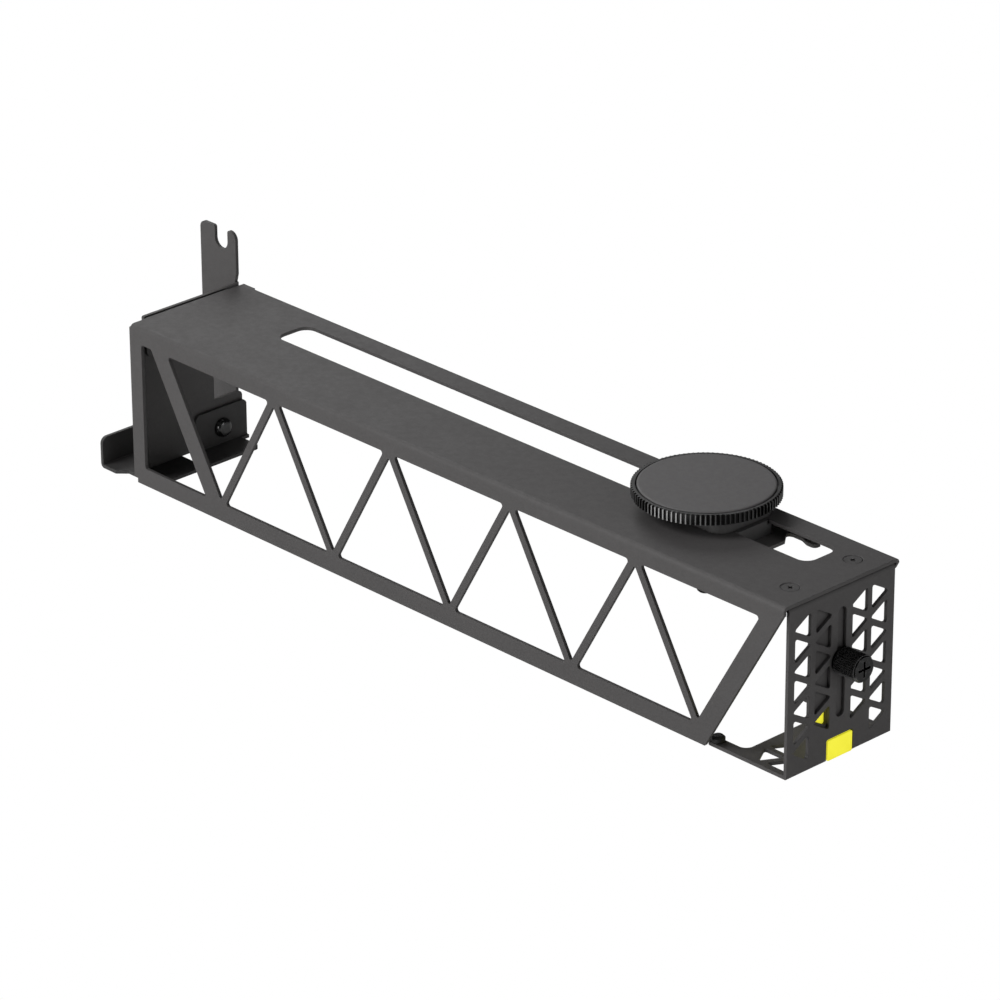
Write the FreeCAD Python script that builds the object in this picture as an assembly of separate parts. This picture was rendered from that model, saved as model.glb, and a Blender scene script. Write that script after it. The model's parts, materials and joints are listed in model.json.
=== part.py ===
import FreeCAD, Part
import math
import os

# Graphics card support bracket, sizes in millimetres.
# X runs along the beam from the slot end, Y to the rear, Z up.
# The origin is on the outer face of the slot bracket, at mid depth and
# half the beam's height up. Below, heights count from the beam's foot and
# the finished shapes are moved down by ORIGIN_Z.

V = FreeCAD.Vector
TAN30 = math.tan(math.radians(30))

# Folded sheet
SHEET = 1.0
BEND_IN = 0.35
BEND_OUT = BEND_IN + SHEET
FIT = 0.05

# Beam
TOP = 48.8
ORIGIN_Z = TOP / 2
HALF = 21.3
END_X = 255.05
FLAP_X = 1.0
BEND_X = FLAP_X + BEND_OUT
TRUSS_Z = 0.3
LIP_Z = 45.5
LIP_X = 7.15
LIP_STEP_Y = HALF - 0.3
FLAP_Y0, FLAP_Y1, FLAP_Z = -15.3, 15.2, 36.2
RETURN_Y = -HALF + 5.0
PLATE_Z = TOP - SHEET
UNDER_BEND = TOP - BEND_OUT

# Truss
CHORD_TOP = 43.75
CHORD_LOW = 5.6
POST_X = 6.8
STRUT_MID_Z = 24.7
STRUT_MID_X = 51.05
STRUT_PITCH = 46.6
STRUT_BAYS = 4
STRUT_W = 2.54
WIDE_LEFT = 6.95
WIDE_RIGHT = 6.5
RIGHT_EDGE_MID = 235.95
TIP_X = 228.3
TIP_TURN_Z = 45.9
OPEN_R = 0.8

# Slot in the top plate for the carriage
SLOT_X0, SLOT_X1 = 37.4, 241.05
SLOT_Y, SLOT_W, SLOT_R = 7.9, 12.0, 3.5

# Slot bracket
BRK_TOP = TOP
BRK_Y0, BRK_Y1, BRK_Z0 = -15.2, 20.4, 2.3
BRK_FLANGE_Y = LIP_STEP_Y
BRK_FLANGE_X = -14.95
BRK_FLANGE_Z0 = 4.8
BRK_WINDOW_Y = 9.9
BRK_WINDOW_Z0, BRK_WINDOW_Z1 = 15.5, 24.8
TAB_Z, TAB_X1 = 63.9, 0.3
NOTCH_X, NOTCH_W, NOTCH_DEPTH = -5.9, 5.45, 3.6
NOTCH_Z = TAB_Z - NOTCH_DEPTH
RIVET_R = 1.6
RIVET_HEAD_R, RIVET_HEAD_H = 2.8, 0.8
RIVET_Z = 42.3
RIVET_YS = (-8.5, 8.5)

# Hook bracket
HOOK_Z = 0.8
HOOK_EDGE_X = 10.8
HOOK_OUT_X = -11.15
HOOK_OUT_Z = 10.1
HOOK_FRONT_Y0, HOOK_FRONT_Y1 = -HALF - 1.5, -2.7
HOOK_BASE_Y0 = -HALF + SHEET + 0.15
HOOK_REAR_Y0, HOOK_REAR_Y1 = 2.0, 18.2
HOOK_LEG_Y1 = BRK_FLANGE_Y + 0.1
HOOK_LEG_Z = 12.9
HOOK_BRIDGE_X = 6.8
HOOK_SCREW_Y, HOOK_SCREW_Z = 11.7, 6.8

# M3 fasteners
M3_R = 1.5
M3_HOLE = 1.7
M3_NUT_AF, M3_NUT_H = 5.5, 2.4
PAN_R, PAN_H, PAN_CHAMFER = 2.85, 2.0, 0.7
CSK_R = 2.65
CLINCH_R, CLINCH_H = 2.9, 1.6

# End bracket
END_Y0, END_Y1 = -HALF + SHEET + 1.2, HALF - SHEET - 0.5
END_LOW_Z = -0.5
END_FLOOR = END_LOW_Z + SHEET
END_TOP_X = 242.6
END_LOW_X = 237.5
TIGHT_IN, TIGHT_OUT = 0.1, 0.5
ARM_X, ARM_W = 226.9, 3.6
ARM_R = 2.5
TRI_W, TRI_R = 5.7, 0.5
TRI_PITCH = 5.78
TRI_ROW_Z = 40.95
TRI_COL_YS = (-16.8, -9.2, 4.15, 11.45)
TRI_COL_COUNTS = (7, 6, 6, 7)
FLANGE_TRI_X = 243.7
FLANGE_TRI_YS = (-17.1, -9.9, 5.1, 12.3)
FLANGE_TRI_COUNTS = (2, 1, 1, 2)
LEG_SLOT_Y, LEG_SLOT_W = 0.4, 3.2
LEG_SLOT_Z0, LEG_SLOT_Z1 = 10.9, 42.0
FOOT_NOTCH_Y0, FOOT_NOTCH_Y1, FOOT_NOTCH_Z = -4.4, 5.5, 5.7
TOP_SCREW_X = 247.6
TOP_SCREW_YS = (END_Y0 + 8.0, END_Y1 - 7.8)
SCREW_SINK = 0.15
STUD_R, STUD_H, STUD_X = 1.9, 1.7, 229.1
STUD_CHAMFER = 0.6

# Leg, foot and thumbscrew
LEG_GAP = 0.06
LEG_Y0, LEG_Y1 = -9.8, 5.5
LEG_Z1 = 45.3
LEG_WINDOW_Z = 12.85
FOOT_Y0, FOOT_Z1, FOOT_STEP_Z = -7.6, 15.8, 5.2
FOOT_LOW_Z = -0.55
FOOT_DEPTH = 2.0
FOOT_SIDE = 0.25
FOOT_GAP = 0.1
THUMB_Y, THUMB_Z = LEG_SLOT_Y - 0.1, 27.15
THUMB_R, THUMB_LEN = 3.75, 8.05
THUMB_RIBS = 36

# Carriage
CAR_X, CAR_Y = 199.65, SLOT_Y
CAR_HALF_X = 15.4
CAR_TOP_HALF_Y = 10.7
CAR_LOW_HALF_Y = 7.5
CAR_LOW_HALF_X = 16.85
CAR_TOP_H = 3.45
CAR_R = 4.5
RUN_GAP = 0.05
KEY_SIDE = 0.1
CAR_LOW_Z = 44.6
ARM_PLATE_Z = 43.6
ARM_PLATE_X = 221.8
STRIP_X = 212.0
EYE_X, EYE_R = ARM_PLATE_X + 6.0, 1.5
CAR_SCREW_DX = 9.0
NUT_AF, NUT_H = 8.0, 2.7

# Lifting wheel
WHEEL_R, WHEEL_BAND = 19.85, 3.0
WHEEL_TOP_Z = 55.5
WHEEL_CHAMFER = 0.35
WHEEL_FLOOR = 1.2
RIBS, RIB_DEPTH = 96, 0.32
PAD_R, PAD_TOP_Z, PAD_CHAMFER = 17.9, 55.8, 0.4
PAD_PLATE_T = 0.8
STEM_R, STEM_LOW_Z = 2.5, 24.65
PIN_R, PIN_L = 1.2, 3.5


# Maps plane values (u, v) and the height w along the axis to a point.
def point(axis, u, v, w):
    return {"x": V(w, u, v), "y": V(u, w, v), "z": V(u, v, w)}[axis]


# Start, middle and end of the arc of radius r that rounds corner p.
def arc_points(p, a, b, r):
    la = math.hypot(a[0] - p[0], a[1] - p[1])
    lb = math.hypot(b[0] - p[0], b[1] - p[1])
    da = ((a[0] - p[0]) / la, (a[1] - p[1]) / la)
    db = ((b[0] - p[0]) / lb, (b[1] - p[1]) / lb)
    half = math.acos(max(-1.0, min(1.0, da[0] * db[0] + da[1] * db[1]))) / 2
    cut = r / math.tan(half)
    bis = (da[0] + db[0], da[1] + db[1])
    lm = math.hypot(*bis)
    far = r / math.sin(half) - r
    return ((p[0] + da[0] * cut, p[1] + da[1] * cut), (p[0] + bis[0] / lm * far, p[1] + bis[1] / lm * far),
            (p[0] + db[0] * cut, p[1] + db[1] * cut))


# Closed flat face through (u, v, radius) corners, at height w.
def face(axis, corners, w):
    count = len(corners)
    starts, ends, edges = [], [], []
    for i in range(count):
        p, a, b = corners[i], corners[i - 1], corners[(i + 1) % count]
        r = p[2] if len(p) > 2 else 0.0
        if r <= 0:
            starts.append(p[:2])
            ends.append(p[:2])
            continue
        s, m, e = arc_points(p, a, b, r)
        edges.append(Part.Arc(point(axis, *s, w), point(axis, *m, w), point(axis, *e, w)).toShape())
        starts.append(s)
        ends.append(e)
    for i in range(count):
        s, e = ends[i], starts[(i + 1) % count]
        if math.hypot(s[0] - e[0], s[1] - e[1]) > 1e-6:
            edges.append(Part.makeLine(point(axis, *s, w), point(axis, *e, w)))
    return Part.Face(Part.Wire(Part.__sortEdges__(edges)))


# Flat shape with the given corners, from lo to hi along the axis.
def plate(axis, corners, lo, hi):
    return face(axis, corners, lo).extrude(point(axis, 0, 0, hi - lo))


def rect(u0, u1, v0, v1, r=0.0):
    return [(u0, v0, r), (u1, v0, r), (u1, v1, r), (u0, v1, r)]


def box(x0, x1, y0, y1, z0, z1):
    return Part.makeBox(x1 - x0, y1 - y0, z1 - z0, V(x0, y0, z0))


def rod(axis, u, v, r, lo, hi):
    return Part.makeCylinder(r, hi - lo, point(axis, u, v, lo), point(axis, 0, 0, 1))


def cone(axis, u, v, r_lo, r_hi, lo, hi):
    return Part.makeCone(r_lo, r_hi, hi - lo, point(axis, u, v, lo), point(axis, 0, 0, 1))


# Bent strip: the path is the outer side and turns left at each bend.
def folded(axis, path, lo, hi, sheet=SHEET, radii=None):
    radii = radii or [(BEND_OUT, BEND_IN)] * len(path)
    inner = []
    last = len(path) - 1
    for i, p in enumerate(path):
        shift = [0.0, 0.0]
        for a, b in ((i - 1, i), (i, i + 1)):
            if a < 0 or b > last:
                continue
            du, dv = path[b][0] - path[a][0], path[b][1] - path[a][1]
            n = math.hypot(du, dv)
            shift[0] += -dv / n * sheet
            shift[1] += du / n * sheet
        inner.append((p[0] + shift[0], p[1] + shift[1]))
    corners = [(p[0], p[1], radii[i][0] if 0 < i < last else 0.0) for i, p in enumerate(path)]
    corners += [(p[0], p[1], radii[i][1] if 0 < i < last else 0.0) for i, p in reversed(list(enumerate(inner)))]
    return plate(axis, corners, lo, hi)


# Waste outside a rounded corner at (u, v), su and sv point into the sheet.
def corner_waste(axis, u, v, su, sv, r, lo, hi):
    block = plate(axis, rect(min(u, u + su * r), max(u, u + su * r), min(v, v + sv * r), max(v, v + sv * r)), lo, hi)
    return block.cut(rod(axis, u + su * r, v + sv * r, r, lo, hi))


# Slot with round ends along v.
def long_hole(axis, u, width, v0, v1, lo, hi):
    return plate(axis, rect(u - width / 2, u + width / 2, v0, v1, width / 2 - 0.001), lo, hi)


# Corners of one triangle from u0 to u0 + TRI_W, each blunted by two chords.
def triangle(u0, v, way, flip=False):
    half = (TRI_W + TRI_R) * TAN30
    base, tip = (u0 + TRI_W, u0 - TRI_R) if way < 0 else (u0, u0 + TRI_W + TRI_R)
    corners = [(base, v - half), (base, v + half), (tip, v)]
    points = []
    for i in range(3):
        points += arc_points(corners[i], corners[i - 1], corners[(i + 1) % 3], TRI_R)
    return [(q, p) if flip else (p, q) for p, q in points]


def hexagon(u, v, across):
    r = across / math.sqrt(3)
    return [(u + r * math.cos(math.radians(60 * k)), v + r * math.sin(math.radians(60 * k))) for k in range(6)]


def cross(axis, u, v, span, arm, lo, hi):
    a = plate(axis, rect(u - span / 2, u + span / 2, v - arm / 2, v + arm / 2), lo, hi)
    return a.fuse(plate(axis, rect(u - arm / 2, u + arm / 2, v - span / 2, v + span / 2), lo, hi))


# Round bar with raised ribs along it.
def ribbed(axis, u, v, r, depth, ribs, lo, hi):
    step = 2 * math.pi / ribs
    ring = []
    for k in range(ribs):
        for radius, part in ((r - depth, 0.0), (r, 0.28), (r, 0.72)):
            t = (k + part) * step
            ring.append((u + radius * math.cos(t), v + radius * math.sin(t)))
    return plate(axis, ring, lo, hi)


def truss_openings():
    def edge(mid, lean, z):
        return mid + lean * (z - STRUT_MID_Z) * TAN30

    def tip_z(left_mid, right_mid, sign):
        return STRUT_MID_Z + sign * (right_mid - left_mid) / 2 / TAN30

    half = STRUT_W / 2
    rising = [STRUT_MID_X + STRUT_PITCH * k for k in range(STRUT_BAYS)]
    falling = [x + STRUT_PITCH / 2 for x in rising]
    first = STRUT_MID_X - STRUT_PITCH / 2
    shapes = []
    left = first + half - WIDE_LEFT
    shapes.append([(POST_X, CHORD_LOW, OPEN_R), (edge(left, -1, CHORD_LOW), CHORD_LOW, OPEN_R * 0.6),
                   (edge(left, -1, CHORD_TOP), CHORD_TOP, OPEN_R), (POST_X, CHORD_TOP, OPEN_R)])
    lefts = [first + half] + [x + half for x in falling]
    rights = [x - half for x in rising] + [RIGHT_EDGE_MID]
    for a, b in zip(lefts, rights):
        shapes.append([(edge(a, -1, CHORD_TOP), CHORD_TOP, OPEN_R), (edge(b, 1, CHORD_TOP), CHORD_TOP, OPEN_R),
                       ((a + b) / 2, tip_z(a, b, -1), OPEN_R * 0.6)])
    for a, b in zip(rising, falling):
        a, b = a + half, b - half
        shapes.append([(edge(a, 1, CHORD_LOW), CHORD_LOW, OPEN_R), (edge(b, -1, CHORD_LOW), CHORD_LOW, OPEN_R),
                       ((a + b) / 2, tip_z(a, b, 1), OPEN_R * 0.6)])
    return [plate("y", s, -HALF - 1, -HALF + SHEET + 1) for s in shapes]


def main_beam():
    path = [(HALF, LIP_Z), (HALF, TOP), (-HALF, TOP), (-HALF, TRUSS_Z)]
    beam = folded("x", path, BEND_X, END_X)
    # The lip starts a little way in and its far end is cut on the slant.
    beam = beam.cut(box(0, LIP_X, HALF - BEND_OUT, HALF + 1, LIP_Z - 1, TOP + 1))
    beam = beam.fuse(box(BEND_X, LIP_X, HALF - BEND_OUT, LIP_STEP_Y, PLATE_Z, TOP))
    beam = beam.cut(plate("y", [(END_X - 1.1, LIP_Z - 0.1), (END_X + 0.1, LIP_Z - 0.1), (END_X + 0.1, LIP_Z + 2.1)],
                          HALF - SHEET - 0.1, HALF + 1))
    # Left flap and the return of the corner post.
    flap = folded("y", [(BEND_X + 1, TOP), (FLAP_X, TOP), (FLAP_X, FLAP_Z)], FLAP_Y0, FLAP_Y1)
    for y, way in ((FLAP_Y0, 1), (FLAP_Y1, -1)):
        flap = flap.cut(corner_waste("x", y, FLAP_Z, way, 1, 2.5, FLAP_X - 1, FLAP_X + 2))
    # The return ends just above the base of the hook.
    post_z = HOOK_Z + SHEET + FIT
    post = folded("z", [(FLAP_X, RETURN_Y), (FLAP_X, -HALF), (BEND_X + 1, -HALF)], post_z, UNDER_BEND)
    beam = beam.fuse([flap, post])
    beam = beam.cut(box(0, BEND_X + 1, -HALF - 1, -HALF + 2, TRUSS_Z - 1, post_z))
    # Slanted right end of the truss.
    lean = (TOP - TRUSS_Z) * TAN30
    beam = beam.cut(plate("y", [(TIP_X - TAN30, TRUSS_Z - 1), (END_X + 5, TRUSS_Z - 1), (END_X + 5, UNDER_BEND - 1),
                                (END_X, UNDER_BEND - 1.15),
                                (TIP_X + lean * (TIP_TURN_Z - TRUSS_Z) / (TOP - TRUSS_Z), TIP_TURN_Z)],
                          -HALF - 1, -HALF + SHEET + 0.2))
    holes = truss_openings()
    holes.append(plate("z", rect(SLOT_X0, SLOT_X1, SLOT_Y - SLOT_W / 2, SLOT_Y + SLOT_W / 2, SLOT_R), PLATE_Z - 1, TOP + 1))
    for y in TOP_SCREW_YS:
        holes.append(cone("z", TOP_SCREW_X, y, CSK_R + FIT - SHEET, CSK_R + FIT, PLATE_Z, TOP))
        holes.append(rod("z", TOP_SCREW_X, y, M3_HOLE, PLATE_Z - 1, TOP))
    for y in RIVET_YS:
        holes.append(rod("x", y, RIVET_Z, RIVET_R, FLAP_X - 1, FLAP_X + 2))
    return beam.cut(holes)


# Above the beam only the screw tab goes on, out of the rear flange.
def slot_bracket():
    flange_y0 = BRK_FLANGE_Y - SHEET
    path = [(SHEET, BRK_Y0), (SHEET, BRK_FLANGE_Y), (BRK_FLANGE_X, BRK_FLANGE_Y)]
    body = folded("z", path, BRK_WINDOW_Z1, BRK_TOP)
    body = body.fuse([
        box(0, SHEET, BRK_Y0, BRK_WINDOW_Y, BRK_WINDOW_Z0, BRK_WINDOW_Z1),
        box(0, SHEET, BRK_Y0, BRK_Y1, BRK_Z0, BRK_WINDOW_Z0),
        box(BRK_FLANGE_X, -1.2, flange_y0, BRK_FLANGE_Y, BRK_FLANGE_Z0, BRK_WINDOW_Z1),
        box(BRK_FLANGE_X, SHEET - BEND_OUT, flange_y0, BRK_FLANGE_Y, BRK_TOP - 1, TAB_Z),
        plate("y", [(SHEET - BEND_OUT - 1, BRK_TOP - 1), (SHEET - BEND_OUT, BRK_TOP - 1), (SHEET - BEND_OUT, BRK_TOP),
                    (TAB_X1, BRK_TOP + 2.5), (TAB_X1, TAB_Z), (SHEET - BEND_OUT - 1, TAB_Z)], flange_y0, BRK_FLANGE_Y),
    ])
    waste = [
        corner_waste("x", BRK_Y0, BRK_TOP, 1, -1, 0.6, -1, 2),
        corner_waste("x", BRK_Y0, BRK_Z0, 1, 1, 1.2, -1, 2),
        corner_waste("x", BRK_Y1, BRK_Z0, -1, 1, 1.5, -1, 2),
        corner_waste("x", BRK_Y1, BRK_WINDOW_Z0, -1, -1, 1.5, -1, 2),
    ]
    y0, y1 = flange_y0 - 1, BRK_FLANGE_Y + 1
    waste += [
        corner_waste("y", BRK_FLANGE_X, TAB_Z, 1, -1, 2.0, y0, y1),
        corner_waste("y", TAB_X1, TAB_Z, -1, -1, 2.5, y0, y1),
        corner_waste("y", BRK_FLANGE_X, BRK_FLANGE_Z0, 1, 1, 2.0, y0, y1),
    ]
    # Open notch for the case screw.
    n0, n1 = NOTCH_X - NOTCH_W / 2, NOTCH_X + NOTCH_W / 2
    waste += [
        box(n0, n1, y0, y1, NOTCH_Z, TAB_Z + 1),
        rod("y", NOTCH_X, NOTCH_Z, NOTCH_W / 2, y0, y1),
        corner_waste("y", n0, TAB_Z, -1, -1, 0.8, y0, y1),
        corner_waste("y", n1, TAB_Z, 1, -1, 0.8, y0, y1),
    ]
    for y in RIVET_YS:
        waste.append(rod("x", y, RIVET_Z, RIVET_R, -1, 2))
    waste.append(rod("x", HOOK_SCREW_Y, HOOK_SCREW_Z, M3_HOLE, -1, 2))
    return body.cut(waste)


# Set rivet through the bracket and the flap, y places it.
def rivet(y):
    inner = FLAP_X + SHEET
    outer = cone("x", y, RIVET_Z, RIVET_HEAD_R - 0.8, RIVET_HEAD_R, -RIVET_HEAD_H, -0.3).fuse(
        rod("x", y, RIVET_Z, RIVET_HEAD_R, -0.3, 0))
    tail = rod("x", y, RIVET_Z, RIVET_R + 0.5, inner, inner + 0.5)
    return rod("x", y, RIVET_Z, RIVET_R, 0, inner).fuse([outer, tail])


def hook_bracket():
    y0, y1, y2, y3 = HOOK_FRONT_Y0, HOOK_FRONT_Y1, HOOK_REAR_Y0, HOOK_REAR_Y1
    start = HOOK_OUT_X + BEND_OUT
    inner = FLAP_X + BEND_OUT
    chamfer = HOOK_BASE_Y0 - y0
    base = plate("z", [(start, y0), (-2.0 - chamfer, y0), (-2.0, HOOK_BASE_Y0), (HOOK_EDGE_X, HOOK_BASE_Y0, 0.8),
                       (HOOK_EDGE_X, y3, 1.5), (inner, y3), (inner, y2), (HOOK_BRIDGE_X, y2, 1.0),
                       (HOOK_BRIDGE_X, y1, 1.0), (start, y1)], HOOK_Z, HOOK_Z + SHEET)
    outer = folded("y", [(HOOK_OUT_X, HOOK_OUT_Z), (HOOK_OUT_X, HOOK_Z), (start + 0.5, HOOK_Z)], y0, y1)
    leg = folded("y", [(FLAP_X, HOOK_LEG_Z), (FLAP_X, HOOK_Z), (inner + 0.5, HOOK_Z)], y2, HOOK_LEG_Y1)
    shape = base.fuse([outer, leg])
    waste = [corner_waste("x", y, HOOK_OUT_Z, way, -1, 2.0, HOOK_OUT_X - 1, HOOK_OUT_X + 2) for y, way in ((y0, 1), (y1, -1))]
    for y, way in ((y2, 1), (HOOK_LEG_Y1, -1)):
        waste.append(corner_waste("x", y, HOOK_LEG_Z, way, -1, 1.6, FLAP_X - 1, FLAP_X + 2))
    waste.append(rod("x", HOOK_SCREW_Y, HOOK_SCREW_Z, M3_HOLE, FLAP_X - 1, FLAP_X + 2))
    return shape.cut(waste)


def hook_screw():
    face_x = FLAP_X + SHEET
    edge_x = face_x + PAN_H - PAN_CHAMFER
    head = rod("x", HOOK_SCREW_Y, HOOK_SCREW_Z, PAN_R, face_x, edge_x).fuse(
        cone("x", HOOK_SCREW_Y, HOOK_SCREW_Z, PAN_R, PAN_R - PAN_CHAMFER, edge_x, edge_x + PAN_CHAMFER))
    head = head.cut(cross("x", HOOK_SCREW_Y, HOOK_SCREW_Z, 2.0, 0.5, edge_x - 0.4, face_x + PAN_H + 1))
    return head.fuse(rod("x", HOOK_SCREW_Y, HOOK_SCREW_Z, M3_R, -M3_NUT_H - 0.8, face_x))


def hook_nut():
    nut = plate("x", hexagon(HOOK_SCREW_Y, HOOK_SCREW_Z, M3_NUT_AF), -M3_NUT_H, 0)
    return nut.cut(rod("x", HOOK_SCREW_Y, HOOK_SCREW_Z, M3_R, -M3_NUT_H - 1, 1))


def end_bracket():
    path = [(END_LOW_X, END_LOW_Z), (END_X, END_LOW_Z), (END_X, PLATE_Z), (END_TOP_X, PLATE_Z)]
    radii = [None, (TIGHT_OUT, TIGHT_IN), (BEND_OUT, BEND_IN), None]
    body = folded("y", path, END_Y0, END_Y1, SHEET, radii)
    arms = plate("z", [(ARM_X, END_Y0, 1.2), (END_LOW_X + 1, END_Y0), (END_LOW_X + 1, END_Y0 + ARM_W + ARM_R + 1),
                       (END_LOW_X, END_Y0 + ARM_W + ARM_R + 1), (END_LOW_X, END_Y0 + ARM_W, ARM_R),
                       (ARM_X, END_Y0 + ARM_W, 1.2)], END_LOW_Z, END_FLOOR)
    rear = arms.mirror(V(0, (END_Y0 + END_Y1) / 2, 0), V(0, 1, 0))
    body = body.fuse([arms, rear])
    holes = [long_hole("x", LEG_SLOT_Y, LEG_SLOT_W, LEG_SLOT_Z0, LEG_SLOT_Z1, END_X - 2, END_X + 1)]
    # Each triangle points the other way than its neighbours.
    for i, (y, count) in enumerate(zip(TRI_COL_YS, TRI_COL_COUNTS)):
        for k in range(count):
            tri = triangle(y, TRI_ROW_Z - TRI_PITCH * k, (-1) ** (i + k + 1))
            holes.append(plate("x", tri, END_X - SHEET - 0.1, END_X + 1))
    for i, (y, count) in enumerate(zip(FLANGE_TRI_YS, FLANGE_TRI_COUNTS)):
        for k in range(count):
            tri = triangle(y, FLANGE_TRI_X + TRI_PITCH * k, (-1) ** (i + k + 1), True)
            holes.append(plate("z", tri, END_LOW_Z - 1, END_FLOOR + 0.2))
    notch = rect(FOOT_NOTCH_Y0, FOOT_NOTCH_Y1, END_LOW_Z - 3, FOOT_NOTCH_Z, 0.6)
    holes.append(plate("x", notch, END_X - SHEET - 0.02, END_X + 1))
    # Well in the flange for the leg and the foot.
    well_x, well_y0, well_y1 = leg_back() - FOOT_DEPTH - 0.4, LEG_Y0 - 0.4, LEG_Y1 + 0.4
    holes.append(plate("z", [(well_x, well_y0, 0.6), (END_X - SHEET, well_y0), (END_X - SHEET, well_y1),
                             (well_x, well_y1, 0.6)], END_LOW_Z - 1, END_FLOOR + TIGHT_OUT))
    for y in TOP_SCREW_YS:
        holes.append(rod("z", TOP_SCREW_X, y, M3_HOLE, PLATE_Z - 2, PLATE_Z + 1))
    return body.cut(holes)


def top_screw(y):
    top = TOP - SCREW_SINK
    head = cone("z", TOP_SCREW_X, y, CSK_R - SHEET, CSK_R - SCREW_SINK, PLATE_Z, top)
    shank = rod("z", TOP_SCREW_X, y, M3_R, PLATE_Z - SHEET - CLINCH_H - 1.0, PLATE_Z)
    return head.fuse(shank).cut(cross("z", TOP_SCREW_X, y, 1.5, 0.5, top - 0.6, TOP + 1))


# Round clinch nut under the top flange.
def top_nut(y):
    z = PLATE_Z - SHEET
    nut = rod("z", TOP_SCREW_X, y, CLINCH_R, z - CLINCH_H, z)
    return nut.cut(rod("z", TOP_SCREW_X, y, M3_R, z - CLINCH_H - 1, z + 1))


# Round stop stud on the end of an arm.
def arm_stud(y):
    top = END_FLOOR + STUD_H
    stud = rod("z", STUD_X, y, STUD_R, END_FLOOR, top - STUD_CHAMFER)
    return stud.fuse(cone("z", STUD_X, y, STUD_R, STUD_R - STUD_CHAMFER, top - STUD_CHAMFER, top))


# Back face of the leg plate, which slides on the inside of the end bracket.
def leg_back():
    return END_X - SHEET - LEG_GAP - SHEET


def leg_plate():
    x0 = leg_back()
    leg = plate("x", [(LEG_Y0, FOOT_STEP_Z + FOOT_GAP, 1.0), (LEG_Y1, FOOT_STEP_Z + FOOT_GAP, 0.6),
                      (LEG_Y1, LEG_Z1, 2.0), (LEG_Y0, LEG_Z1, 2.0)], x0, x0 + SHEET)
    window = triangle(TRI_COL_YS[1], LEG_WINDOW_Z, -1)
    return leg.cut([rod("x", THUMB_Y, THUMB_Z, M3_R, x0 - 1, x0 + 2), plate("x", window, x0 - 1, x0 + 2)])


def leg_nut():
    x0 = leg_back()
    nut = rod("x", THUMB_Y, THUMB_Z, CLINCH_R, x0 - CLINCH_H, x0)
    return nut.cut(rod("x", THUMB_Y, THUMB_Z, M3_R, x0 - 3, x0 + 1))


# The foot sits behind the leg plate; its nose comes out under the plate's
# lower edge and fills the notch of the end bracket.
def foot():
    back, front = leg_back() - FOOT_DEPTH, leg_back()
    nose_y0, y1 = FOOT_NOTCH_Y0 + 2 * FOOT_SIDE, FOOT_NOTCH_Y1 - FOOT_SIDE
    pad = plate("x", rect(FOOT_Y0, y1, FOOT_LOW_Z, FOOT_Z1, 0.8), back, front)
    nose = plate("x", rect(nose_y0, y1, FOOT_LOW_Z, FOOT_STEP_Z, 0.4), front - 0.5, END_X)
    return pad.fuse(nose)


def thumbscrew():
    x0 = END_X + LEG_GAP
    head = ribbed("x", THUMB_Y, THUMB_Z, THUMB_R, 0.18, THUMB_RIBS, x0 + 0.8, x0 + THUMB_LEN - 0.5)
    head = head.fuse([rod("x", THUMB_Y, THUMB_Z, THUMB_R - 0.18, x0, x0 + 0.8),
                      cone("x", THUMB_Y, THUMB_Z, THUMB_R - 0.18, THUMB_R - 0.4, x0 + THUMB_LEN - 0.5, x0 + THUMB_LEN)])
    head = head.cut(cross("x", THUMB_Y, THUMB_Z, THUMB_R * 1.23, 0.8, x0 + THUMB_LEN - 1.6, x0 + THUMB_LEN + 1))
    end = leg_back() - CLINCH_H - 1.4
    return head.fuse(rod("x", THUMB_Y, THUMB_Z, M3_R, end, x0))


def carriage_top():
    z0, z1 = TOP + RUN_GAP, TOP + RUN_GAP + CAR_TOP_H
    body = plate("z", rect(CAR_X - CAR_HALF_X, CAR_X + CAR_HALF_X, CAR_Y - CAR_TOP_HALF_Y, CAR_Y + CAR_TOP_HALF_Y,
                           CAR_R), z0, z1)
    holes = [rod("z", CAR_X, CAR_Y, STEM_R + FIT * 4, z0 - 1, z1 + 1)]
    for dx in (-CAR_SCREW_DX, CAR_SCREW_DX):
        holes.append(rod("z", CAR_X + dx, CAR_Y, M3_R, z0 - 1, z1 - 0.8))
    return body.cut(holes)


# Lower half of the carriage with the key that runs in the slot.
def carriage_low():
    z1, top = PLATE_Z - RUN_GAP, TOP + RUN_GAP
    x0, x1 = CAR_X - CAR_HALF_X, CAR_X + CAR_LOW_HALF_X
    key = SLOT_W / 2 - KEY_SIDE
    body = plate("z", rect(x0, x1, CAR_Y - CAR_LOW_HALF_Y, CAR_Y + CAR_LOW_HALF_Y, 1.0), CAR_LOW_Z, z1)
    body = body.fuse(plate("z", rect(x0, x1, CAR_Y - key, CAR_Y + key, 1.0), z1, top))
    holes = [plate("z", hexagon(CAR_X, CAR_Y, NUT_AF), CAR_LOW_Z - 1, CAR_LOW_Z + NUT_H),
             rod("z", CAR_X, CAR_Y, STEM_R + FIT * 4, CAR_LOW_Z - 1, top + 1)]
    for dx in (-CAR_SCREW_DX, CAR_SCREW_DX):
        holes.append(rod("z", CAR_X + dx, CAR_Y, M3_HOLE, CAR_LOW_Z - 1, top + 1))
    return body.cut(holes)


def lift_nut():
    nut = plate("z", hexagon(CAR_X, CAR_Y, NUT_AF), CAR_LOW_Z, CAR_LOW_Z + NUT_H)
    return nut.cut(rod("z", CAR_X, CAR_Y, STEM_R + FIT, CAR_LOW_Z - 1, CAR_LOW_Z + NUT_H + 1))


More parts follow.
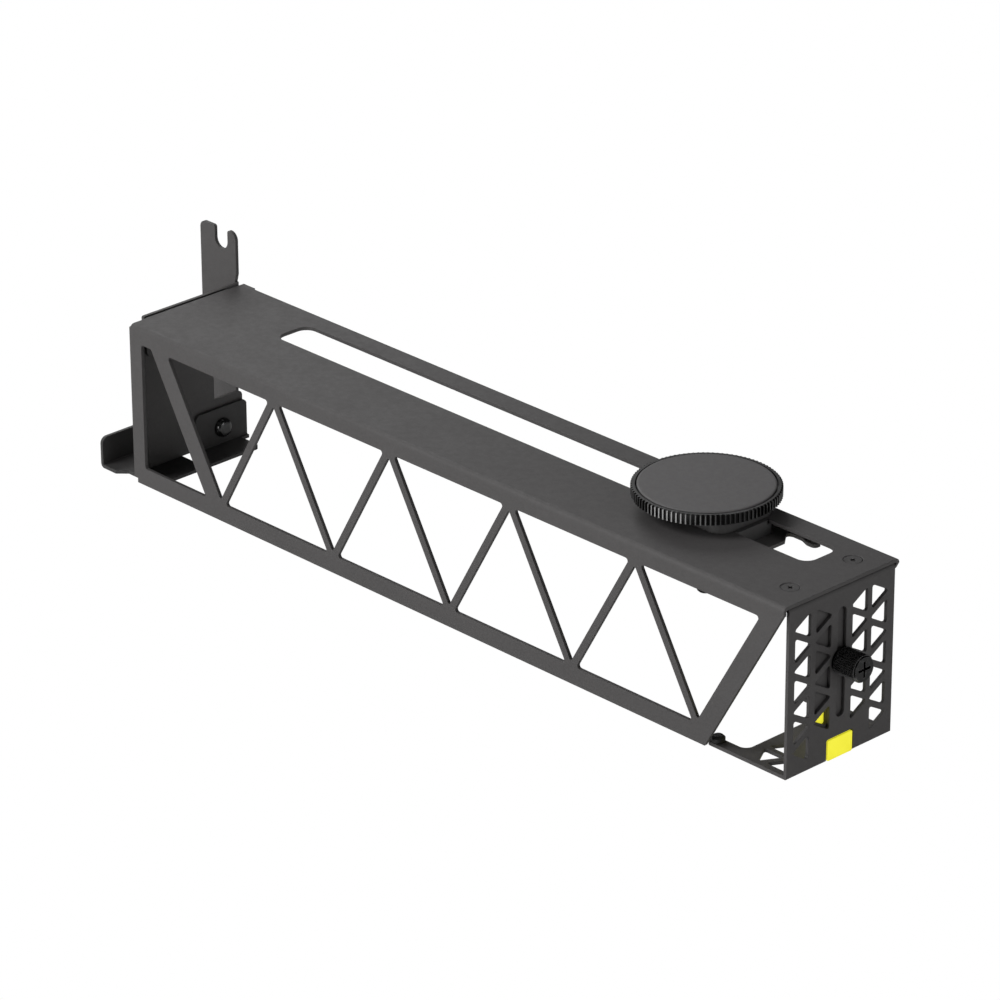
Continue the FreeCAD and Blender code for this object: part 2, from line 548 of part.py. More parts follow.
# Guide arm under the carriage, it reaches along the rear lip to an eye.
def arm_plate():
    x0, y0, y1 = CAR_X - CAR_HALF_X + 1, CAR_Y - CAR_LOW_HALF_Y, CAR_Y + CAR_LOW_HALF_Y
    rear_y = HALF - SHEET - 0.1
    eye_y = rear_y - 1.2
    front_y, end_x = eye_y - EYE_R, EYE_X + EYE_R
    z0, z1 = ARM_PLATE_Z, ARM_PLATE_Z + SHEET
    neck = [(ARM_PLATE_X, front_y - 3.3, 0.5), (ARM_PLATE_X - 2.9, front_y + 0.3, 0.8),
            (ARM_PLATE_X - 1.4, front_y + 1.1, 0.8), (ARM_PLATE_X + 1.9, front_y + 1.1, 2.0),
            (EYE_X - 1.4, front_y, 1.4)]
    body = plate("z", [(x0, y0, 1.0), (ARM_PLATE_X, y0, 1.0)] + neck + [
        (end_x, front_y, EYE_R * 0.9), (end_x, rear_y, 1.0), (STRIP_X, rear_y, 1.0), (STRIP_X, y1, 1.0), (x0, y1, 1.0)], z0, z1)
    holes = [rod("z", EYE_X - 0.4, eye_y, EYE_R - 0.7, z0 - 1, z1 + 1), rod("z", CAR_X, CAR_Y, STEM_R + FIT * 4, z0 - 1, z1 + 1)]
    for dx in (-CAR_SCREW_DX, CAR_SCREW_DX):
        holes.append(cone("z", CAR_X + dx, CAR_Y, CSK_R + FIT, CSK_R + FIT - SHEET, z0, z1))
        holes.append(rod("z", CAR_X + dx, CAR_Y, M3_HOLE, z0, z1 + 1))
    return body.cut(holes)


# Countersunk screw that clamps the carriage from below.
def carriage_screw(dx):
    z = ARM_PLATE_Z
    screw = cone("z", CAR_X + dx, CAR_Y, CSK_R, CSK_R - SHEET, z, z + SHEET).fuse(
        rod("z", CAR_X + dx, CAR_Y, M3_R, z + SHEET, TOP + 2.0))
    return screw.cut(cross("z", CAR_X + dx, CAR_Y, 2.2, 0.5, z - 1, z + 0.7))


def stem():
    top = WHEEL_TOP_Z - WHEEL_BAND + WHEEL_FLOOR
    body = rod("z", CAR_X, CAR_Y, STEM_R, STEM_LOW_Z + 0.5, top)
    tip = cone("z", CAR_X, CAR_Y, STEM_R - 0.5, STEM_R, STEM_LOW_Z, STEM_LOW_Z + 0.5)
    return body.fuse(tip).cut(rod("z", CAR_X, CAR_Y, PIN_R + FIT, top - PIN_L - 0.5, top + 1))


def wheel():
    z0, z1 = WHEEL_TOP_Z - WHEEL_BAND, WHEEL_TOP_Z
    edge = z1 - WHEEL_CHAMFER
    body = ribbed("z", CAR_X, CAR_Y, WHEEL_R, RIB_DEPTH, RIBS, z0 + 0.3, edge - 0.25)
    body = body.fuse([rod("z", CAR_X, CAR_Y, WHEEL_R - RIB_DEPTH, z0, z0 + 0.3), rod("z", CAR_X, CAR_Y, WHEEL_R, edge - 0.25, edge),
                      cone("z", CAR_X, CAR_Y, WHEEL_R, WHEEL_R - WHEEL_CHAMFER, edge, z1)])
    return body.cut([rod("z", CAR_X, CAR_Y, PAD_R + 0.25, z0 + WHEEL_FLOOR, z1 + 1), rod("z", CAR_X, CAR_Y, STEM_R, z0 - 1, z1)])


def pad_plate():
    z0 = WHEEL_TOP_Z - WHEEL_BAND + WHEEL_FLOOR + FIT
    disc = rod("z", CAR_X, CAR_Y, PAD_R, z0, z0 + PAD_PLATE_T)
    return disc.fuse(rod("z", CAR_X, CAR_Y, PIN_R, z0 - PIN_L, z0))


def rubber_pad():
    z0 = WHEEL_TOP_Z - WHEEL_BAND + WHEEL_FLOOR + FIT + PAD_PLATE_T
    edge = PAD_TOP_Z - PAD_CHAMFER
    return rod("z", CAR_X, CAR_Y, PAD_R, z0, edge).fuse(cone("z", CAR_X, CAR_Y, PAD_R, PAD_R - PAD_CHAMFER, edge, PAD_TOP_Z))


def parts():
    mid = (END_Y0 + END_Y1) / 2
    arm_y = END_Y0 + ARM_W / 2 + 0.2
    return {
        "main_beam": main_beam(),
        "slot_bracket": slot_bracket(),
        "beam_rivet_front": rivet(RIVET_YS[0]),
        "beam_rivet_rear": rivet(RIVET_YS[1]),
        "hook_bracket": hook_bracket(),
        "hook_screw": hook_screw(),
        "hook_nut": hook_nut(),
        "end_bracket": end_bracket(),
        "top_screw_front": top_screw(TOP_SCREW_YS[0]),
        "top_screw_rear": top_screw(TOP_SCREW_YS[1]),
        "top_nut_front": top_nut(TOP_SCREW_YS[0]),
        "top_nut_rear": top_nut(TOP_SCREW_YS[1]),
        "arm_stud_front": arm_stud(arm_y),
        "arm_stud_rear": arm_stud(2 * mid - arm_y),
        "leg_plate": leg_plate(),
        "leg_nut": leg_nut(),
        "foot": foot(),
        "thumbscrew": thumbscrew(),
        "carriage_top": carriage_top(),
        "carriage_low": carriage_low(),
        "arm_plate": arm_plate(),
        "carriage_screw_left": carriage_screw(-CAR_SCREW_DX),
        "carriage_screw_right": carriage_screw(CAR_SCREW_DX),
        "lift_nut": lift_nut(),
        "stem": stem(),
        "wheel": wheel(),
        "pad_plate": pad_plate(),
        "rubber_pad": rubber_pad(),
    }


os.makedirs("parts", exist_ok=True)
for name, shape in parts().items():
    shape = shape.removeSplitter()
    if shape.ShapeType != "Solid" and len(shape.Solids) == 1:
        shape = shape.Solids[0]
    shape.translate(V(0, 0, -ORIGIN_Z))
    print(name, shape.isValid(), len(shape.Solids), round(shape.Volume, 1))
    shape.exportStep("parts/%s.step" % name)
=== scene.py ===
import json
import math

import bpy
from mathutils import Matrix, Vector


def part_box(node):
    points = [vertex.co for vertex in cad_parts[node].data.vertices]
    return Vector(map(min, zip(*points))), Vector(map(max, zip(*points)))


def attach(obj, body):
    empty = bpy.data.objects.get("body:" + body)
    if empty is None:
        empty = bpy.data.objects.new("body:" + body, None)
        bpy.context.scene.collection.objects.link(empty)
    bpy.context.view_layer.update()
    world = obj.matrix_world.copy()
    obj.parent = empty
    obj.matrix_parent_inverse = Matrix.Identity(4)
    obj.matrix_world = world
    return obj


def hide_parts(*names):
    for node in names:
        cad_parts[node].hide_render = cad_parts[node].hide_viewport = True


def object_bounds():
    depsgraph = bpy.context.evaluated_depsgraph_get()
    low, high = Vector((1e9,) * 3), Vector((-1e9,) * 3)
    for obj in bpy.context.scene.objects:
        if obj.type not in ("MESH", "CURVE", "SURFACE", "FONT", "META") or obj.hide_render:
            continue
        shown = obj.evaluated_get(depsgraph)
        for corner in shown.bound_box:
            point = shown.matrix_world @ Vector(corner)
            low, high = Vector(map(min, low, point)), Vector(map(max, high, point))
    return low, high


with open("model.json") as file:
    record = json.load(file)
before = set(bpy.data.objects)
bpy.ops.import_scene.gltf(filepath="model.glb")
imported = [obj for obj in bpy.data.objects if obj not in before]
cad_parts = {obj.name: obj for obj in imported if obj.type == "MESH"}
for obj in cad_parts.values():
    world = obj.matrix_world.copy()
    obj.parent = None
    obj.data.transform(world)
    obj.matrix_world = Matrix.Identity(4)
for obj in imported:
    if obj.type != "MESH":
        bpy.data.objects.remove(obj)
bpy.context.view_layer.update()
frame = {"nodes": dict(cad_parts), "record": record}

nodes = frame["nodes"]
scene = bpy.context.scene
slots = {s["node"]: s["material_slot"] for s in frame["record"]["subparts"]}

MM = 0.001

# The two directions across an axis, and the one along it
ACROSS = {"x": (1, 2, 0), "z": (0, 1, 2)}

# Screws
M3_RADIUS = 1.5 * MM
M3_PITCH = 0.5 * MM
HEAD_FACE_RADIUS = 2.28 * MM
DOME_RADIUS = 2.85 * MM
DOME_HEIGHT = 2.0 * MM

# Wheel, pad and stem
RIBS = 96
RIB_DEPTH = 0.45 * MM
# Direction, across the wheel's axis, of the side whose rib tops get a painted highlight
HIGHLIGHT_SIDE = (0.225, -0.974)
RECESS_FLOOR = 1.2 * MM
PAD_GROWTH = 0.35 * MM
PAD_GAP = 0.4 * MM
STEM_RADIUS = 2.5 * MM
STEM_PITCH = 0.8 * MM
STEM_GROOVE = 0.45 * MM
STEM_CHAMFER = 0.7 * MM

# Edge of the slot bracket
HOOK_SHEET = 1.0 * MM
EDGE_SIDES_X = (0.02 * MM, 0.98 * MM)
EDGE_FRONT_Y = -16.8 * MM
EDGE_STRIP_Y = -15.0 * MM
EDGE_BACK_Y = 8.0 * MM
EDGE_TOP_Z = 20.8 * MM
EDGE_LIFT = 0.2 * MM

# Floor and light
FLOOR_HALF = 3.0
FLOOR_DROP = 15.2 * MM
LAMP_AIM = Vector((0.125, 0.0, 0.0))

# Camera, fitted to the photograph
CAMERA_PLACE = (1.06137, -0.88525, 0.60263)
CAMERA_LENS = 189.86
IMAGE_RIGHT = Vector((0.69031194, 0.72350157, -0.00385918))
IMAGE_DOWN = Vector((0.3024275, -0.29339146, -0.90689529))
AHEAD = Vector((-0.65727242, 0.62487353, -0.4213384))


# Node trees

class Tree:
    """A short way to write the node tree of a material or a world."""

    def __init__(self, owner, output=None):
        """Starts the tree afresh at an output node or, with none named, adds to the owner's own tree."""
        self.owner = owner
        owner.use_nodes = True
        self.nt = owner.node_tree
        if output:
            self.nt.nodes.clear()
            self.out = self.add(output)

    def add(self, kind, inputs=None, **settings):
        n = self.nt.nodes.new(kind)
        for key, value in settings.items():
            setattr(n, key, value)
        for key, value in (inputs or {}).items():
            self.put(n.inputs[key], value)
        return n

    def put(self, socket, value):
        if isinstance(value, bpy.types.NodeSocket):
            self.nt.links.new(value, socket)
        else:
            socket.default_value = value

    def coords(self, scale=(1, 1, 1)):
        c = self.add("ShaderNodeTexCoord")
        m = self.add("ShaderNodeMapping", {"Vector": c.outputs["Object"], "Scale": scale})
        return m.outputs["Vector"]

    def split(self, vector):
        return self.add("ShaderNodeSeparateXYZ", {0: vector}).outputs

    def noise(self, vector, scale, detail):
        inputs = {"Vector": vector, "Scale": scale, "Detail": detail, "Roughness": 0.55}
        return self.add("ShaderNodeTexNoise", inputs).outputs["Fac"]

    def remap(self, value, a, b, lo, hi):
        inputs = {"Value": value, "From Min": a, "From Max": b, "To Min": lo, "To Max": hi}
        return self.add("ShaderNodeMapRange", inputs).outputs["Result"]

    def spread(self, noise, lo=0.0, hi=1.0):
        """The usual values of a noise, 0.3 to 0.7, spread from lo to hi."""
        return self.remap(noise, 0.3, 0.7, lo, hi)

    def math(self, how, a, b=0.0):
        return self.add("ShaderNodeMath", {0: a, 1: b}, operation=how).outputs[0]

    def mix(self, fac, a, b):
        """Mixes two colours. Their sockets come after the node's sockets for numbers and vectors."""
        n = self.add("ShaderNodeMix", {"Factor": fac}, data_type="RGBA")
        self.put(n.inputs[6], a)
        self.put(n.inputs[7], b)
        return n.outputs[2]

    def flat_normal(self):
        return self.add("ShaderNodeNewGeometry").outputs["Normal"]

    def rounded_normal(self, radius):
        return self.add("ShaderNodeBevel", {"Radius": radius}, samples=6).outputs["Normal"]

    def cosine(self, a, b):
        return self.add("ShaderNodeVectorMath", {0: a, 1: b}, operation="DOT_PRODUCT").outputs["Value"]

    def openness(self, reach):
        """1 in the open, and less where other surfaces stand within reach."""
        return self.add("ShaderNodeAmbientOcclusion", {"Distance": reach}, samples=8).outputs["AO"]

    def bump(self, height, distance, strength, normal=None):
        inputs = {"Height": height, "Distance": distance, "Strength": strength}
        if normal is not None:
            inputs["Normal"] = normal
        return self.add("ShaderNodeBump", inputs).outputs["Normal"]

    def surface(self, inputs):
        """Ends a material's tree in a principled shader."""
        p = self.add("ShaderNodeBsdfPrincipled", inputs)
        self.put(self.out.inputs["Surface"], p.outputs["BSDF"])
        return self.owner

    def white_to_camera(self, glow, other):
        """Ends a tree in a white glow for the camera and in another shader for all other rays."""
        white = self.add(glow, {"Color": grey(1.0), "Strength": 1.0})
        seen = self.add("ShaderNodeLightPath").outputs["Is Camera Ray"]
        both = self.add("ShaderNodeMixShader", {0: seen, 1: other, 2: white.outputs[0]})
        self.put(self.out.inputs["Surface"], both.outputs[0])


def material_tree(name):
    return Tree(bpy.data.materials.new(name), "ShaderNodeOutputMaterial")


def rgb(r, g, b):
    return (r, g, b, 1.0)


def grey(level):
    return rgb(level, level, level)


def scaled(colour, k):
    return rgb(colour[0] * k, colour[1] * k, colour[2] * k)


def centre_of(node):
    lo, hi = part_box(node)
    return (lo + hi) / 2


def offsets(t, place, centre):
    """How far a place is along X and along Y from the upright axis through centre."""
    part = t.split(place)
    return t.math("SUBTRACT", part["X"], centre.x), t.math("SUBTRACT", part["Y"], centre.y)


def length(t, dx, dy):
    return t.math("SQRT", t.math("ADD", t.math("MULTIPLY", dx, dx), t.math("MULTIPLY", dy, dy)))


# Materials

def coat(name, colour, rough, grain, grain_depth, mottle=0.10, edge=0.25, seam_shade=0.75):
    """Painted, moulded or oxide black: mottled, grainy, softly rounded, worn on edges, with painted shade in
    joins and creases.
    """
    t = material_tree(name)
    v = t.coords()
    broad = t.noise(v, 55.0, 4.0)
    fine = t.noise(v, grain, 2.0)
    middle = t.noise(v, grain / 5.0, 3.0)
    shade = t.mix(t.spread(broad), scaled(colour, 1 - mottle), scaled(colour, 1 + mottle))
    shade = t.mix(t.remap(fine, 0.35, 0.65, 0.0, 0.35), shade, scaled(colour, 1.35))
    # Wear shows where the rounded normal leaves the flat one.
    soft = t.rounded_normal(0.16 * MM)
    bare = t.remap(t.cosine(soft, t.flat_normal()), 0.999, 0.9, 0.0, 1.0)
    worn = t.math("MULTIPLY", bare, t.remap(middle, 0.42, 0.62, 0.15, 1.0))
    shade = t.mix(t.math("MULTIPLY", worn, edge), shade, scaled(colour, 2.2))
    # Painted shade: darker where other surfaces stand close, in joins and creases.
    shade = t.mix(t.remap(t.openness(2.2 * MM), 0.25, 0.8, seam_shade, 0.0), shade, scaled(colour, 0.15))
    roughness = t.math("ADD", t.spread(middle, rough - 0.05, rough + 0.05), t.spread(broad, -0.03, 0.03))
    height = t.math("ADD", t.math("MULTIPLY", fine, 0.6), t.math("MULTIPLY", middle, 0.4))
    return t.surface({"Base Color": shade, "Roughness": roughness,
                      "Normal": t.bump(height, 0.1 * MM, grain_depth, soft)})


def plating(name, level, rough, axis, streak_highlight_level, end_level, edge_highlight_level, shine=(0.06, 0.6)):
    """Glossy black plating: painted highlight streaks along an axis, duller ends across it, painted
    highlights on the edges, painted shade in crevices.
    """
    t = material_tree(name)
    along = {"x": (0.06, 1.0, 1.0), "z": (1.0, 1.0, 0.06)}[axis]
    streak = t.math("ADD", t.math("MULTIPLY", t.noise(t.coords(along), 560.0, 1.0), 0.85),
                    t.math("MULTIPLY", t.noise(t.coords(along), 1700.0, 2.0), 0.15))
    band = t.remap(streak, 0.54, 0.62, 0.0, 1.0)
    broad = t.noise(t.coords(), 240.0, 3.0)
    soft = t.rounded_normal(0.18 * MM)
    flat = t.flat_normal()
    ends = t.remap(t.math("ABSOLUTE", t.split(flat)[axis.upper()]), 0.90, 0.97, 0.0, 1.0)
    shade = t.mix(t.spread(broad), grey(level * 0.6), grey(level * 1.4))
    # Painted highlight: lighter streaks along the axis.
    shade = t.mix(band, shade, grey(streak_highlight_level))
    shade = t.mix(ends, shade, t.mix(t.spread(broad), grey(end_level * 0.9), grey(end_level * 1.1)))
    # Painted highlight on the edges, where the rounded normal leaves the flat one.
    shade = t.mix(t.remap(t.cosine(soft, flat), 0.96, 0.82, 0.0, 0.6), shade, grey(edge_highlight_level))
    # Painted shade where other surfaces stand close.
    shade = t.mix(t.remap(t.openness(1.2 * MM), 0.3, 0.8, 0.9, 0.0), shade, grey(level * 0.2))
    dull = t.math("MULTIPLY", ends, 0.3)
    return t.surface({"Base Color": shade,
                      "Roughness": t.math("ADD", t.spread(broad, rough - 0.05, rough + 0.05), dull),
                      "Specular IOR Level": t.math("MAXIMUM", t.remap(band, 0.0, 1.0, *shine), dull),
                      "Normal": t.bump(streak, 0.05 * MM, 0.25, soft)})


def wheel_gloss(name):
    """Hard black moulding: painted highlights on rib tops on one side and in patches, black grooves with
    painted shade, a duller rim.
    """
    lo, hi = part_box("wheel")
    r = (hi.x - lo.x) / 2
    t = material_tree(name)
    v = t.coords()
    dx, dy = offsets(t, v, centre_of("wheel"))
    broad = t.noise(v, 300.0, 3.0)
    fine = t.noise(v, 2400.0, 2.0)
    patch = t.noise(v, 70.0, 2.0)
    rim = t.remap(t.split(t.flat_normal())["Z"], 0.5, 0.9, 0.0, 1.0)
    # Painted highlight: the rib tops are lighter on one side of the wheel and in patches.
    side = t.math("ADD", t.math("MULTIPLY", dx, HIGHLIGHT_SIDE[0] / r),
                  t.math("MULTIPLY", dy, HIGHLIGHT_SIDE[1] / r))
    painted_highlight = t.math("MAXIMUM", t.remap(side, 0.93, 0.98, 0.0, 1.0), t.remap(patch, 0.50, 0.70, 0.10, 0.6))
    outer = t.remap(length(t, dx, dy), r - 0.24 * MM, r - 0.04 * MM, 0.0, 1.0)
    shade = t.mix(t.math("MULTIPLY", outer, painted_highlight), grey(0.002), grey(0.42))
    shade = t.mix(rim, shade, t.mix(fine, grey(0.018), rgb(0.042, 0.041, 0.041)))
    # Painted shade in the grooves and close to other surfaces.
    shade = t.mix(t.remap(t.openness(1.2 * MM), 0.4, 0.9, 0.95, 0.0), shade, grey(0.002))
    roughness = t.math("ADD", t.spread(broad, 0.12, 0.22), t.math("MULTIPLY", rim, 0.3))
    return t.surface({"Base Color": shade, "Roughness": roughness, "Normal": t.bump(fine, 0.05 * MM, 0.1)})


def foot_rubber(name):
    """Bright yellow moulded rubber, a little uneven, with a painted glow of its own, though it is no lamp."""
    t = material_tree(name)
    v = t.coords()
    broad = t.noise(v, 160.0, 4.0)
    fine = t.noise(v, 3200.0, 2.0)
    shade = t.mix(t.spread(broad), rgb(0.90, 0.83, 0.035), rgb(1.0, 0.95, 0.05))
    # Painted light: the rubber emits its own colour at half strength.
    return t.surface({"Base Color": shade, "Roughness": t.spread(broad, 0.42, 0.55),
                      "Normal": t.bump(fine, 0.1 * MM, 0.08, t.rounded_normal(0.2 * MM)),
                      "Emission Color": shade, "Emission Strength": 0.5})


def thread_look(name, axis, centre):
    """Black plating with an M3 thread's helical groove about the axis through centre, as a bump and as
    painted shade in the groove and painted light on the crests.
    """
    i, j, k = ACROSS[axis]
    t = material_tree(name)
    v = t.coords()
    part = t.split(v)
    first = t.math("SUBTRACT", part[i], centre[i])
    second = t.math("SUBTRACT", part[j], centre[j])
    turn = t.math("DIVIDE", t.math("ARCTAN2", second, first), 2 * math.pi)
    groove = t.math("PINGPONG", t.math("SUBTRACT", t.math("DIVIDE", part[k], M3_PITCH), turn), 0.5)
    # Painted shade in the groove and painted light on the crests of the thread.
    return t.surface({"Base Color": t.mix(groove, grey(0.0064), grey(0.0288)),
                      "Roughness": t.spread(t.noise(v, 1500.0, 3.0), 0.30, 0.45),
                      "Normal": t.bump(groove, M3_PITCH * 0.9, 0.8)})


looks = {
    "black_coat": coat("powder_coat", (0.070, 0.067, 0.067), 0.62, 2600, 0.10, mottle=0.06, edge=0.12),
    "black_steel": coat("black_oxide", (0.020, 0.020, 0.020), 0.42, 3000, 0.05, edge=0.35),
    "black_screw": plating("screw_plating", 0.008, 0.22, "z", 0.03, 0.02, 0.06),
    "thumb": plating("thumb_plating", 0.002, 0.24, "x", 0.07, 0.022, 0.34),
    "dome": plating("dome_plating", 0.004, 0.17, "x", 0.03, 0.04, 0.08, shine=(0.9, 1.0)),
    "screw_head": coat("screw_head", (0.062, 0.060, 0.060), 0.45, 3000, 0.04, edge=0.3, seam_shade=0.9),
    "black_moulding": coat("moulding", (0.060, 0.059, 0.059), 0.50, 2400, 0.06, edge=0.1),
    # Painted light: a lighter copy of the powder coat with less seam shade, for the arm plate in the slot's
    # shade.
    "lit_arm_coat": coat("lit_arm_coat", (0.110, 0.106, 0.106), 0.62, 2600, 0.10, mottle=0.06, seam_shade=0.3),
    "wheel_moulding": wheel_gloss("wheel_gloss"),
    "hook_coat": coat("hook_coat", (0.040, 0.039, 0.039), 0.62, 2600, 0.20, mottle=0.15, edge=0.6),
    "pad_rubber": coat("pad_rubber", (0.104, 0.101, 0.102), 0.60, 3400, 0.08, mottle=0.05, edge=0.1),
    "stud_rubber": coat("stud_rubber", (0.012, 0.012, 0.012), 0.45, 2600, 0.05, edge=0.1),
    "yellow_foot": foot_rubber("foot_rubber"),
}
own_look = {"thumbscrew": "thumb", "top_screw_front": "screw_head", "top_screw_rear": "screw_head",
            "arm_plate": "lit_arm_coat", "hook_bracket": "hook_coat"}


def paint_nodes():
    """Gives each CAD node the look of its material slot, or its own look."""
    for name, obj in nodes.items():
        obj.data.materials.clear()
        obj.data.materials.append(looks[own_look.get(name, slots[name])])


def thread_shank(node, axis):
    """Gives the round faces of an M3 screw's shank a thread in the shading."""
    mesh = nodes[node].data
    centre = centre_of(node)
    i, j, _ = ACROSS[axis]
    mesh.materials.append(thread_look(node + "_thread", axis, centre))
    for f in mesh.polygons:
        corners = [mesh.vertices[k].co for k in f.vertices]
        far = [math.hypot(c[i] - centre[i], c[j] - centre[j]) for c in corners]
        if all(abs(d - M3_RADIUS) < 0.04 * MM for d in far):
            f.material_index = 1


def ring_edge(look, screws, r):
    """Paints black shade on a look farther than r from the axes of two upright screws: the shade in the gap
    round their heads.
    """
    t = Tree(looks[look])
    v = t.coords()
    far = [length(t, *offsets(t, v, centre_of(n))) for n in screws]
    # Painted shade: black beyond r, as in the gap round each head.
    gap_shade = t.remap(t.math("MINIMUM", *far), r - 0.04 * MM, r + 0.04 * MM, 0.0, 1.0)
    base = next(n for n in t.nt.nodes if n.type == "BSDF_PRINCIPLED").inputs["Base Color"]
    t.put(base, t.mix(gap_shade, base.links[0].from_socket, grey(0.002)))


paint_nodes()
thread_shank("thumbscrew", "x")
for screw in ("top_screw_front", "top_screw_rear", "carriage_screw_left", "carriage_screw_right"):
    thread_shank(screw, "z")
ring_edge("screw_head", ("top_screw_front", "top_screw_rear"), HEAD_FACE_RADIUS)


# Pieces of the scene

def skin(name, rows, look, body, node=None, smooth_after=None):
    """Closed mesh over rows of points, with flat ends, in the place of a CAD node where one is named.

    Where smooth_after is given, the faces between rows that come after that face are smooth.
    """
    n = len(rows[0])
    verts = [p for row in rows for p in row]
    faces = [(i * n + k, i * n + (k + 1) % n, (i + 1) * n + (k + 1) % n, (i + 1) * n + k)
             for i in range(len(rows) - 1) for k in range(n)]
    faces.append(tuple(reversed(range(n))))
    faces.append(tuple((len(rows) - 1) * n + k for k in range(n)))
    mesh = bpy.data.meshes.new(name)
    mesh.from_pydata(verts, [], faces)
    mesh.validate()
    if smooth_after is not None:
        for f in mesh.polygons:
            f.use_smooth = len(f.vertices) == 4 and f.index > smooth_after
    o = bpy.data.objects.new(name, mesh)
    scene.collection.objects.link(o)
    mesh.materials.append(looks[look])
    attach(o, body)
    if node:
        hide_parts(node)


def ring_point(axis, centre, turn, r, place):
    """The point at a share of a turn round an axis through centre, r away from it, at a place along it."""
    i, j, k = ACROSS[axis]
    point = [0.0, 0.0, 0.0]
    point[i] = centre[i] + r * math.cos(2 * math.pi * turn)
    point[j] = centre[j] + r * math.sin(2 * math.pi * turn)
    point[k] = place
    return point


def knurled_wheel():
    """The wheel with ribs over nearly its full height: narrow tops, wide grooves."""
    lo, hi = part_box("wheel")
    pad_lo, pad_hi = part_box("rubber_pad")
    centre = centre_of("wheel")
    r = (hi.x - lo.x) / 2
    wall = r - ((pad_hi.x - pad_lo.x) / 2 + PAD_GROWTH + PAD_GAP)
    # Along a rib's pitch: the share of it, and the depth there
    profile = ((0.0, RIB_DEPTH), (0.34, RIB_DEPTH), (0.44, 0.0), (0.70, 0.0), (0.80, RIB_DEPTH))
    # Up the wheel and into its recess: the height, the inset, and whether the ribs are cut there
    shape = ((lo.z, 0.5 * MM, False), (lo.z + 0.1 * MM, 0.4 * MM, False), (lo.z + 0.15 * MM, 0.0, True),
             (hi.z - 0.22 * MM, 0.0, True), (hi.z - 0.1 * MM, 0.12 * MM, True), (hi.z, 0.5 * MM, False),
             (hi.z, wall, False), (lo.z + RECESS_FLOOR, wall, False))
    rows = [[ring_point("z", centre, (k + part) / RIBS, r - max(inset, depth if ribbed else 0.0), z)
             for k in range(RIBS) for part, depth in profile]
            for z, inset, ribbed in shape]
    skin("wheel_knurl", rows, "wheel_moulding", "wheel", "wheel")


def wide_pad():
    """The rubber pad out to the wheel's rim, with a rolled edge."""
    lo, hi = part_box("rubber_pad")
    centre = centre_of("rubber_pad")
    r = (hi.x - lo.x) / 2 + PAD_GROWTH
    sides = 120
    shape = ((0.3 * MM, lo.z), (0.0, lo.z + 0.3 * MM), (0.0, hi.z - 0.3 * MM), (0.1 * MM, hi.z - 0.12 * MM),
             (0.3 * MM, hi.z - 0.03 * MM), (0.6 * MM, hi.z))
    rows = [[ring_point("z", centre, k / sides, r - inset, z) for k in range(sides)] for inset, z in shape]
    skin("pad_disc", rows, "pad_rubber", "pad", "rubber_pad")


def domed_screw():
    """The hook screw with a rounded glossy head and a flat end."""
    lo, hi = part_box("hook_screw")
    centre = centre_of("hook_screw")
    seat = hi.x - DOME_HEIGHT
    chamfer, rim, rise, run, flat_end = 0.3 * MM, 0.5 * MM, 1.4 * MM, 1.55 * MM, 1.25 * MM
    sides = 60
    shape = [(lo.x, M3_RADIUS - chamfer), (lo.x + chamfer, M3_RADIUS), (seat, M3_RADIUS), (seat, DOME_RADIUS)]
    smooth_after = sides * len(shape)
    for k in range(9):
        a = math.radians(10 * k)
        shape.append((seat + rim + rise * math.sin(a), DOME_RADIUS - run + run * math.cos(a)))
    shape.append((hi.x, flat_end))
    rows = [[ring_point("x", centre, k / sides, r, x) for k in range(sides)] for x, r in shape]
    skin("hook_screw_dome", rows, "dome", "frame", "hook_screw", smooth_after)


def bracket_edge():
    """Closes the slits at the foot and the front edge of the slot bracket."""
    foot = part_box("slot_bracket")[0].z + EDGE_LIFT
    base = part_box("hook_bracket")[0].z + HOOK_SHEET
    outline = [(EDGE_FRONT_Y, base), (EDGE_BACK_Y, base), (EDGE_BACK_Y, foot),
               (EDGE_STRIP_Y, foot), (EDGE_STRIP_Y, EDGE_TOP_Z), (EDGE_FRONT_Y, EDGE_TOP_Z)]
    rows = [[(x, y, z) for y, z in outline] for x in EDGE_SIDES_X]
    skin("bracket_edge", rows, "black_coat", "frame")


def threaded_stem():
    """The wheel's stem with a real helical groove and a chamfered lower end."""
    lo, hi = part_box("stem")
    centre = centre_of("stem")
    sides, steps = 48, 8
    # Shares of half a pitch that the groove's floor and its flank take
    floor_share, flank_share = 0.12, 0.72
    last = int((hi.z - lo.z) / STEM_PITCH * steps) + 1
    rows = []
    for i in range(last + 1):
        z = lo.z + (hi.z - lo.z) * i / last
        row = []
        for k in range(sides):
            u = (z / STEM_PITCH - k / sides) % 1.0
            tooth = min(1.0, max(0.0, (abs(u - 0.5) * 2 - floor_share) / flank_share))
            r = min(STEM_RADIUS - STEM_GROOVE + STEM_GROOVE * tooth, STEM_RADIUS - STEM_CHAMFER + (z - lo.z))
            row.append(ring_point("z", centre, k / sides, r, z))
        rows.append(row)
    skin("stem_thread", rows, "black_screw", "wheel", "stem", smooth_after=-1)


knurled_wheel()
wide_pad()
domed_screw()
bracket_edge()
threaded_stem()


# Floor and light

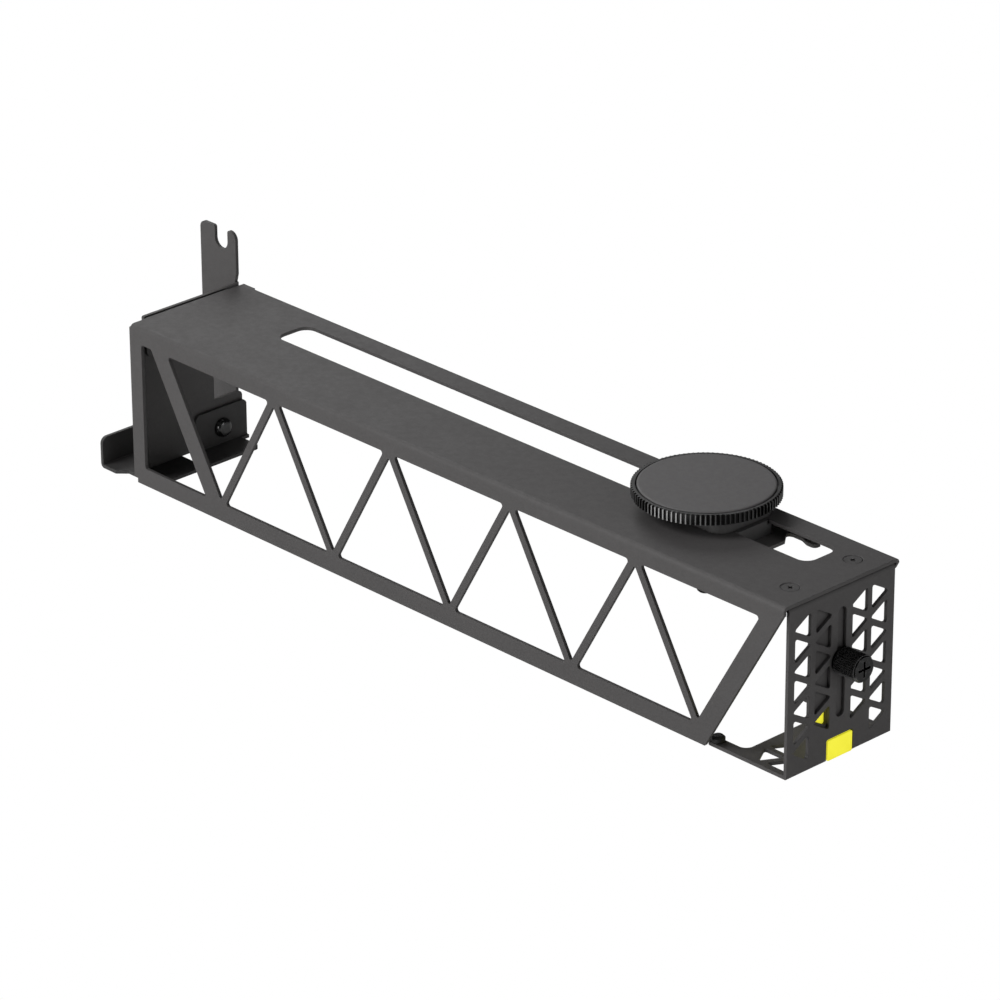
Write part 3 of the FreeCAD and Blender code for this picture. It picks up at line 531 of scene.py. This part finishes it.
def paper_floor():
    """A plain pale sheet, below the reach of the leg at the end of its travel."""
    h, z = FLOOR_HALF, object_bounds()[0].z - FLOOR_DROP
    mesh = bpy.data.meshes.new("floor")
    mesh.from_pydata([(-h, -h, z), (h, -h, z), (h, h, z), (-h, h, z)], [], [(0, 1, 2, 3)])
    o = bpy.data.objects.new("floor", mesh)
    scene.collection.objects.link(o)
    t = material_tree("paper")
    pale = t.mix(t.noise(t.coords(), 900.0, 3.0), grey(0.776), grey(0.80))
    paper = t.add("ShaderNodeBsdfPrincipled", {"Base Color": pale, "Roughness": 0.8})
    t.white_to_camera("ShaderNodeEmission", paper.outputs[0])
    mesh.materials.append(t.owner)


def studio_world():
    """A dim light from all round, which the camera sees as white."""
    scene.world = bpy.data.worlds.new("studio")
    t = Tree(scene.world, "ShaderNodeOutputWorld")
    soft = t.add("ShaderNodeBackground", {"Color": grey(1.0), "Strength": 0.02})
    t.white_to_camera("ShaderNodeBackground", soft.outputs[0])


def softbox(name, place, wide, tall, watts, colour=(1, 1, 1)):
    """A rectangular lamp that faces the middle of the beam."""
    data = bpy.data.lights.new(name, "AREA")
    data.shape = "RECTANGLE"
    data.size, data.size_y = wide, tall
    data.energy = watts
    data.color = colour
    o = bpy.data.objects.new(name, data)
    o.location = place
    o.rotation_euler = (LAMP_AIM - Vector(place)).to_track_quat("-Z", "Y").to_euler()
    scene.collection.objects.link(o)


paper_floor()
studio_world()
softbox("front", (0.10, -1.1, 0.15), 0.8, 0.5, 5.15, (1.0, 0.99, 0.985))
softbox("key", (-0.30, -0.70, 0.75), 0.5, 0.5, 6.2)
softbox("top", (0.0, 0.05, 0.9), 0.6, 0.6, 0.72)
softbox("right", (1.05, 0.05, 0.30), 0.5, 0.5, 2.1)
softbox("left_back", (-0.55, 0.35, 0.55), 0.5, 0.5, 2.2)


# Camera and picture

camera = bpy.data.objects.new("camera", bpy.data.cameras.new("camera"))
scene.collection.objects.link(camera)
turn = Matrix((IMAGE_RIGHT, -IMAGE_DOWN, -AHEAD)).transposed().to_4x4()
camera.matrix_world = Matrix.Translation(CAMERA_PLACE) @ turn
camera.data.sensor_width = 36.0
camera.data.lens = CAMERA_LENS
camera.data.clip_start, camera.data.clip_end = 0.05, 20.0
scene.camera = camera

scene.view_settings.view_transform = "Standard"
